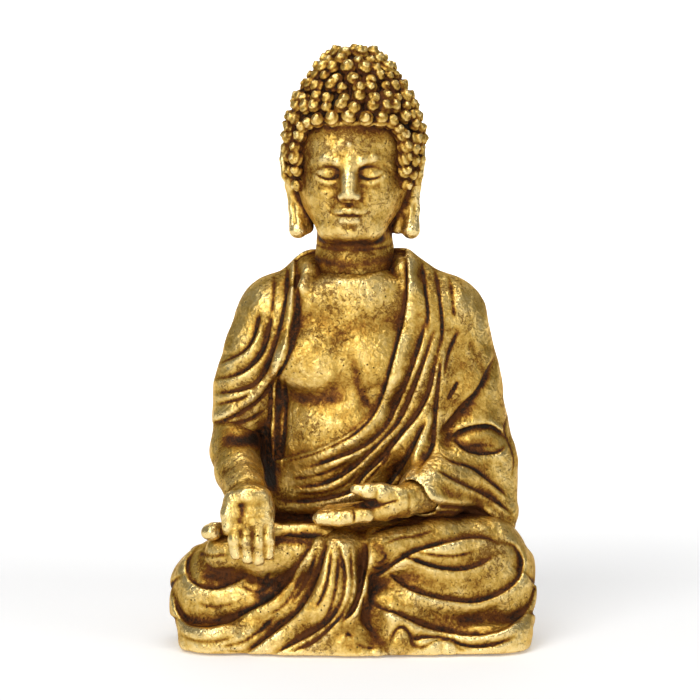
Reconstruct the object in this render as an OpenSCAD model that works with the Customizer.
// Small seated buddha statue, hollow cast in resin, gold painted.
// Millimetres, +Z up, the figure faces -Y, origin on the floor under the middle of the base.

/* [Statue] */
// Height of the body casting above the floor, up to the seat of the neck
neck_z = 112; // [111:0.5:113]
// Distance between the two knees over the robe
knee_span = 110; // [108:1:112]
// Depth of the base from the front hem to the back
base_depth = 74; // [72:1:76]
// Edge of the square key that holds the head on the body
key_side = 9; // [7:0.5:10]
// Length of the square key
key_length = 22; // [18:1:24]
// Glue gap round each key, tenon and plate
glue_gap = 0.15; // [0.1:0.05:0.3]

/* [Hair] */
// Radius of one curl
curl_r = 1.75; // [1.5:0.05:1.9]
// Distance between neighbouring curls in a row
curl_pitch = 4.4; // [4:0.1:5]
// Distance between rows of curls
row_pitch = 4; // [3.8:0.1:4.6]
// Height of the hairline over the forehead
hairline_z = 155; // [153:0.5:157]

/* [Base] */
// Radius of the plate that closes the hollow
plate_r = 25; // [22:0.5:26]
// Thickness of the plate
plate_t = 2; // [1.5:0.25:3]
// Radius of one felt pad
pad_r = 5; // [4:0.5:6]
// Thickness of one felt pad
pad_t = 1.5; // [1:0.25:2]
// How far the pads stand out below the casting
pad_proud = 0.5; // [0.3:0.1:0.8]

/* [Hidden] */
gold = [0.78, 0.62, 0.22];
dark_gold = [0.52, 0.38, 0.13];
knee_x = knee_span / 2;
front_y = -base_depth / 2;
back_y = base_depth / 2;
floor_z = pad_proud;
key_z = neck_z - key_length / 2;
skull_c = [0.3, 1.5, 148];
skull_up = [19.4, 17.5, 27.5];
skull_down = [19.4, 17.5, 24];
skull_low = 133;
knot_c = [0.3, 2, 165.4];
knot_r = [12.6, 12.2, 12.675];
pad_spots = [[-33, -13], [33, -13], [-30, 19], [30, 19]];

// Depth of the robe's front over the trunk at a given width and height.
function trunk_front(x, z) =
    let (swell = 19 + 1.5 * sin((z - 60) * 3.4) - max(0, z - 94) * 0.62)
    3.5 - swell * sqrt(max(0.15, 1 - pow(x / 36, 2)));

// Points on the front of the trunk from a list of width and height pairs.
function on_trunk(pairs, lift) = [for (p = pairs) [p[0], trunk_front(p[0], p[1]) - lift, p[1]]];

// Unit normal of an ellipsoid with radii r in the direction of a unit vector.
function oval_normal(dir, r) =
    let (n = [dir[0] / r[0], dir[1] / r[1], dir[2] / r[2]])
    n / norm(n);

module ball(p, r, fn = 18)
    translate(p)
        sphere(r, $fn = fn);

module oval(p, r, fn = 26)
    translate(p)
        scale(r)
            sphere(1, $fn = fn);

// A limb or a fold between two points, with a round end at each.
module limb(a, ra, b, rb, fn = 18)
    hull() {
        ball(a, ra, fn);
        ball(b, rb, fn);
    }

// A raised fold of cloth that follows a path and thins towards its ends.
module fold(path, r, fn = 8)
    for (i = [0:len(path) - 2]) {
        t0 = i / (len(path) - 1);
        t1 = (i + 1) / (len(path) - 1);
        limb(path[i], r * (0.6 + 0.4 * sin(180 * t0)), path[i + 1], r * (0.6 + 0.4 * sin(180 * t1)), fn);
    }

module trunk() {
    oval([0, 11, 28], [37, 25, 25]);
    oval([-1, 3, 54], [27, 20.5, 24]);
    oval([0, 3.5, 84], [31, 20, 27]);
    limb([-24, 4, 97.4], 10.8, [26.6, 4, 97.6], 11.6);
    limb([1, 4, 102], 15, [1, 1, neck_z - 4], 11.5);
    for (s = [-1, 1])
        oval([s * 10 - 3, -10.6, 83.5], [11, 5.2, 9.5], 24);
}

// The robe where it lies on the neck and shoulders and falls down the back.
module mantle() {
    for (s = [-1, 1]) {
        limb([s * 13.5 + 1, 3.5, 112.8], 4.6, [s * 23 + 1.5, 4, 101.8], 9.2);
        limb([s * 14 + 1, 1, 113], 3.6, [s * 17, -9, 106], 2.6, 16);
    }
    limb([-12, 10.6, 112.6], 4.6, [14, 10.6, 112.6], 4.6, 16);
    hull() {
        for (s = [-1, 1]) {
            ball([s * 21, 8, 98], 12.5);
            ball([s * 27, 10, 52], 14.5);
            ball([s * 24, 14, 22], 18);
        }
        ball([0, 11, 92], 13.5);
        ball([0, 14, 28], 22.5);
    }
}

module sleeves() {
    limb([-25, 3, 97.8], 10.9, [-31, 2, 76], 11.4);
    limb([-31, 2, 76], 11, [-34, -0.3, 65.4], 8.8);
    limb([28.4, 3, 96.8], 12, [35.6, 2, 57], 13.4);
    limb([35.5, 0, 54], 13.2, [25, -17, 48], 9.5);
    limb([25, -17, 48], 9.2, [20, -24, 47.5], 8);
    limb([38, -1, 50], 11.5, [41.5, -5, 40], 8.5);
}

module legs() {
    limb([-16, 13, 23], 21, [knee_x * -0.74, -7, 15.8], 14.6);
    limb([knee_x * -0.74, -9, 14.5], 13.8, [-8, -24.5, 12], 11.8);
    limb([16, 13, 23], 21, [knee_x * 0.73, -7, 21], 15.2);
    limb([knee_x * 0.73, -8, 14.5], 14.2, [10, -25, 11], 10.5);
    limb([knee_x * 0.72, -9, 27], 12.5, [9, -25.5, 30], 8.5);
    limb([-3, -26, 27], 9.5, [-3, -28, 11], 8.8);
    hull()
        for (s = [-1, 1]) {
            translate([s * 36.8 + 0.4, -9, floor_z])
                cylinder(h = 9, r1 = 15, r2 = 17.6, $fn = 28);
            translate([s * 22, back_y - 17.5, floor_z])
                cylinder(h = 12, r1 = 16, r2 = 17.5, $fn = 28);
            translate([s * 38, front_y + 14, floor_z])
                cylinder(h = 3.5, r = 12, $fn = 28);
            translate([s * 20, front_y + 9.5, floor_z])
                cylinder(h = 4, r = 8.5, $fn = 24);
        }
}

// Raised folds of the robe: its edge and the bands across the chest, the sleeves, the lap and the hem.
module robe_folds() {
    fold(on_trunk([[15.5, 112], [15.5, 103], [13.5, 91], [10.5, 80],
                   [6, 71], [-1, 65], [-9, 61], [-19, 57]], 0.6), 1.7);
    fold(on_trunk([[23, 102], [20, 92], [17, 82], [13, 72], [6, 64], [-4, 58], [-18, 53]], 0.6), 1.9);
    fold(on_trunk([[26, 92], [22, 80], [17, 69], [9, 60], [-2, 52], [-20, 48]], 0.6), 2);
    fold(on_trunk([[25, 82], [24, 72], [20, 63], [14, 55], [8, 50]], 1), 2);
    fold([[-16.5, -9.5, 111], [-18, -13.5, 99], [-20, -14, 88], [-25, -12, 79],
          [-33, -9.5, 72], [-40.5, -4, 69], [-42, 4, 68]], 1.7);
    fold([[-26, -8, 100], [-28.5, -9, 92], [-34, -8.5, 86], [-39.5, -3, 83]], 1.4);
    fold([[-22, -9.5, 97], [-26, -10.5, 87], [-32, -10, 80], [-40, -5, 77.5]], 1.5);
    fold([[40, -5, 88], [37.5, -9, 80], [32, -12, 73], [27, -13.5, 68]], 1.4);
    fold([[30, -11.5, 64], [38, -11.5, 66.5], [44.5, -7, 63.5], [39, -12.5, 59.5], [31, -12.5, 61]], 1.3);
    fold([[45, -7, 49], [36, -14.5, 52], [28, -17.5, 55]], 1.4);
    fold([[47.5, -7, 38], [40, -15, 41.5], [30, -20.5, 44], [23, -26, 45]], 1.7);
    fold([[-15, -32.5, 30], [-19, -34, 22], [-28, -31, 15], [-41, -23, 11], [-51, -13, 12]], 1.9);
    fold([[-10, -34.5, 31], [-12.5, -35, 20], [-20, -34.2, 10.5], [-29, -30.5, 4]], 1.9);
    fold([[-5.5, -35.2, 30], [-7, -35.2, 17], [-13, -35, 8], [-21, -34.2, 3]], 1.8);
    fold([[2.5, -35.5, 31], [1.5, -35.2, 20], [-3, -35.2, 11.5], [-13, -35.2, 3.5]], 1.8);
    fold([[-44, -18, 31], [-50, -12, 27], [-46, -20, 21.5], [-36, -26, 22], [-29, -29, 26]], 1.7);
    fold([[43, -17, 38], [30, -23, 40.5], [18, -30, 38.5], [8, -33, 35]], 1.9);
    fold([[46, -16, 31], [34, -24.5, 33.5], [21, -31.5, 31.5], [9, -34, 25]], 1.9);
    fold([[45, -17, 26], [34, -25.5, 24], [22, -31.5, 25], [12, -34.5, 21]], 2);
    fold([[50, -13, 22], [36, -25, 14.5], [22, -32, 15.5], [8, -35, 12]], 2);
    fold([[52, -17, 9.5], [38, -28, 8.2], [22, -32, 8]], 1.8);
    fold([[-5, -35.2, 3], [-1.5, -35.2, 5.5], [4, -35, 2.6]], 1.8);
    fold([[10, -35, 3], [14, -35, 7], [18, -35, 3.2]], 2);
    fold([[18, -35.2, 2.6], [27, -35.2, 4.2], [38, -34, 3], [46, -28, 3]], 1.7);
}

// Round-sided hollow inside the casting, wide in the lap and narrow in the chest.
module hollow() {
    translate([0, 6, floor_z + plate_t])
        cylinder(h = 20, r1 = plate_r - 1.5, r2 = 20, $fn = 32);
    translate([0, 5, floor_z + plate_t + 20])
        cylinder(h = 28, r1 = 20, r2 = 12, $fn = 32);
    translate([0, 4, floor_z + plate_t + 48])
        cylinder(h = 42, r1 = 12, r2 = 9, $fn = 32);
}

// The square key, or with grow the pocket that holds it.
module neck_mortise(grow)
    translate([1, 1, key_z + key_length / 2])
        cube([key_side + grow, key_side + grow, key_length + grow], center = true);

// Frame of the right forearm: origin at the sleeve, +Z along the arm to the hand.
module at_right_arm()
    translate([-34.2, -3.5, 63])
        rotate([126, 0, 4])
            children();

// Frame of the left hand: origin in the cuff, +Z towards the fingertips.
module at_left_hand()
    translate([21, -23.5, 47])
        rotate([94, 0, -70])
            children();

// Square tenon that keys a hand piece into its sleeve.
module tenon(side, grow)
    translate([-(side + grow) / 2, -(side + grow) / 2, -6 - grow / 2])
        cube([side + grow, side + grow, 6.1 + grow / 2]);

// Room behind the hanging hand, so that it lies on the shin without cutting into it.
module hand_space()
    hull() {
        limb([-36, -33, 42], 3, [-25, -33, 41], 3, 12);
        limb([-34, -35, 28.5], 1.8, [-24.5, -35, 28.5], 1.8, 12);
    }

// Outer shape of the foot; grow enlarges it for its seat in the robe.
module foot_blank(grow)
    hull() {
        ball([-41.5, -21.5, 35.3], 3.5 + grow, 16);
        ball([-30, -24.5, 34.2], 4.2 + grow, 16);
        ball([-10, -26, 33.8], 4.4 + grow, 16);
    }

module body_shell()
    color(gold)
        difference() {
            union() {
                trunk();
                mantle();
                sleeves();
                legs();
                robe_folds();
            }
            hollow();
            translate([0, 6, -1])
                cylinder(h = floor_z + plate_t + 1, r = plate_r + glue_gap, $fn = 64);
            translate([-80, -60, -10])
                cube([160, 120, 10 + floor_z]);
            translate([1, 1, neck_z])
                cylinder(h = 20, r = 11.6 + glue_gap, $fn = 40);
            neck_mortise(2 * glue_gap);
            for (p = pad_spots)
                translate([p[0], p[1], -1])
                    cylinder(h = 1 + pad_t + glue_gap, r = pad_r + glue_gap, $fn = 40);
            at_right_arm() {
                cylinder(h = 30, r = 8.4 + glue_gap, $fn = 24);
                tenon(8, 2 * glue_gap);
            }
            at_left_hand() {
                cylinder(h = 20, r = 5 + glue_gap, $fn = 24);
                tenon(5, 2 * glue_gap);
            }
            foot_blank(glue_gap);
            hand_space();
        }

// One ear with a long lobe; side is -1 or 1.
module ear(side) {
    limb([side * 19.6, 0, 147], 2.1, [side * 17.4, -0.5, 134], 1.9, 14);
    limb([side * 17.4, -0.5, 134], 1.9, [side * 17, -2, 123.6], 2.6, 14);
    limb([side * 17.6, 2, 146], 2.6, [side * 15.6, 1.5, 133], 2, 14);
}

// The part of an oval between two heights.
module oval_band(p, r, low, high)
    intersection() {
        oval(p, r);
        translate([p[0] - 40, p[1] - 40, low])
            cube([80, 80, high - low]);
    }

module head()
    color(gold)
        difference() {
            union() {
                oval_band(skull_c, skull_up, skull_c[2] - 0.01, neck_z + 80);
                oval_band(skull_c, skull_down, skull_low, skull_c[2]);
                oval(knot_c, knot_r);
                oval([0, -2.2, 141], [14.6, 13.4, 19.6]);
                oval([0, -4, 130], [11.4, 9.6, 8.6]);
                limb([1, 1, neck_z + 8], 10.6, [0.4, 2, 130], 11.4);
                translate([1, 1, neck_z])
                    cylinder(h = 9, r1 = 11.6, r2 = 10.6, $fn = 40);
                limb([0, -14.6, 144.4], 1.2, [0, -16.8, 135.4], 1.8, 14);
                for (s = [-1, 1]) {
                    ear(s);
                    limb([0, -16.4, 134.8], 1.4, [s * 2.1, -15, 134.6], 1.3, 12);
                    limb([s * 2.4, -14.8, 145], 0.9, [s * 8.8, -12.4, 145.4], 0.8, 10);
                    oval([s * 6, -12.6, 141], [3.6, 2.6, 1.8], 16);
                    limb([0, -14.4, 129.4], 1, [s * 3.8, -12.8, 129.6], 0.7, 10);
                    oval([s * 6.6, -9, 135.4], [5.6, 5.4, 6.5], 18);
                }
                limb([-1.6, -13.9, 127.6], 1.1, [1.6, -13.9, 127.6], 1.1, 10);
                ball([0, -11, 124.4], 2.8, 16);
                ball([0, -15.6, 149.6], 0.9, 14);
            }
            translate([1, 1, neck_z - 20])
                cylinder(h = 20, r = 20, $fn = 24);
            neck_mortise(2 * glue_gap);
        }

// One curl: a low round stud with a flat back, standing along the given normal.
module curl(p, n, r)
    translate(p)
        rotate([0, acos(n[2]), atan2(n[1], n[0])])
            cylinder(h = r * 1.1, r1 = r, r2 = r * 0.5, $fn = 16);

// Curls in level rows over an oval; the face and the ears are left open.
module curl_rows(c, r, low, high) {
    for (row = [0:floor((high - low) / row_pitch)]) {
        lat = asin((low + row * row_pitch - c[2]) / r[2]);
        count = round(360 / (curl_pitch / (r[0] * cos(lat)) * 180 / PI));
        for (i = [0:count - 1]) {
            az = 360 * (i + 0.5 * (row % 2)) / count;
            dir = [cos(az) * cos(lat), sin(az) * cos(lat), sin(lat)];
            p = [c[0] + r[0] * dir[0], c[1] + r[1] * dir[1], c[2] + r[2] * dir[2]];
            on_ear = abs(p[0]) > 14 && p[2] < 150.5 && abs(p[1] - 1) < 4.5;
            on_face = p[1] < -3 && p[2] < hairline_z && abs(p[0]) < 15.5;
            if (!on_ear && !on_face)
                curl(p, oval_normal(dir, r), curl_r);
        }
    }
}

module hair_curls()
    color(dark_gold) {
        curl_rows(skull_c, skull_down, 136, 148);
        curl_rows(skull_c, skull_up, 151.9, 164);
        curl_rows(knot_c, knot_r, 169, 177);
        curl([knot_c[0], knot_c[1], knot_c[2] + knot_r[2]], [0, 0, 1], curl_r);
    }

module neck_key()
    color("burlywood")
        neck_mortise(0);

// Forearm with the open palm facing out and the fingers hanging over the shin.
module right_forearm()
    color(gold) {
        at_right_arm() {
            tenon(8, 0);
            intersection() {
                limb([0, 0, -2], 8.4, [0, 0, 24], 6.2);
                translate([-20, -20, 0])
                    cube([40, 40, 60]);
            }
        }
        oval([-30.8, -31.2, 42.6], [7.4, 4.4, 6.4], 24);
        for (i = [0:3]) {
            fx = -35 + 3.5 * i;
            limb([fx, -32.6, 40], 2.1, [fx + 0.4, -34.4, 34], 1.9, 12);
            limb([fx + 0.4, -34.4, 34], 1.9, [fx + 0.8, -34.8, 29.6 - 1.2 * sin(60 * i)], 1.6, 12);
        }
        limb([-35.4, -30.6, 44.5], 2.8, [-36.6, -32, 39.4], 2, 12);
    }

// Hand lying in the lap, palm up, with the thumb raised.
module left_hand()
    color(gold) {
        at_left_hand() {
            tenon(5, 0);
            intersection() {
                limb([0, 0, -2], 5, [0, 0, 8], 4.8);
                translate([-20, -20, 0])
                    cube([40, 40, 60]);
            }
        }
        limb([13.5, -27, 46], 4.6, [4, -30, 43.6], 3.6);
        for (i = [0:3])
            limb([2, -32.4 + 2.6 * i, 43 - 0.4 * i], 1.9,
                 [-10.5 + i, -32 + 2.6 * i, 41.6 - 0.4 * i], 1.4, 12);
        limb([12, -29, 48], 2.7, [5, -31, 49.2], 2.1, 12);
        limb([5, -31, 49.2], 2.1, [0.5, -32, 49.6], 1.5, 12);
    }

module foot()
    color(gold)
        foot_blank(0);

module base_plate()
    color("tan")
        translate([0, 6, floor_z])
            cylinder(h = plate_t, r = plate_r, $fn = 64);

module felt_pads()
    color("dimgray")
        for (p = pad_spots)
            translate([p[0], p[1], 0])
                cylinder(h = pad_t, r = pad_r, $fn = 40);

body_shell();
head();
hair_curls();
neck_key();
right_forearm();
left_hand();
foot();
base_plate();
felt_pads();
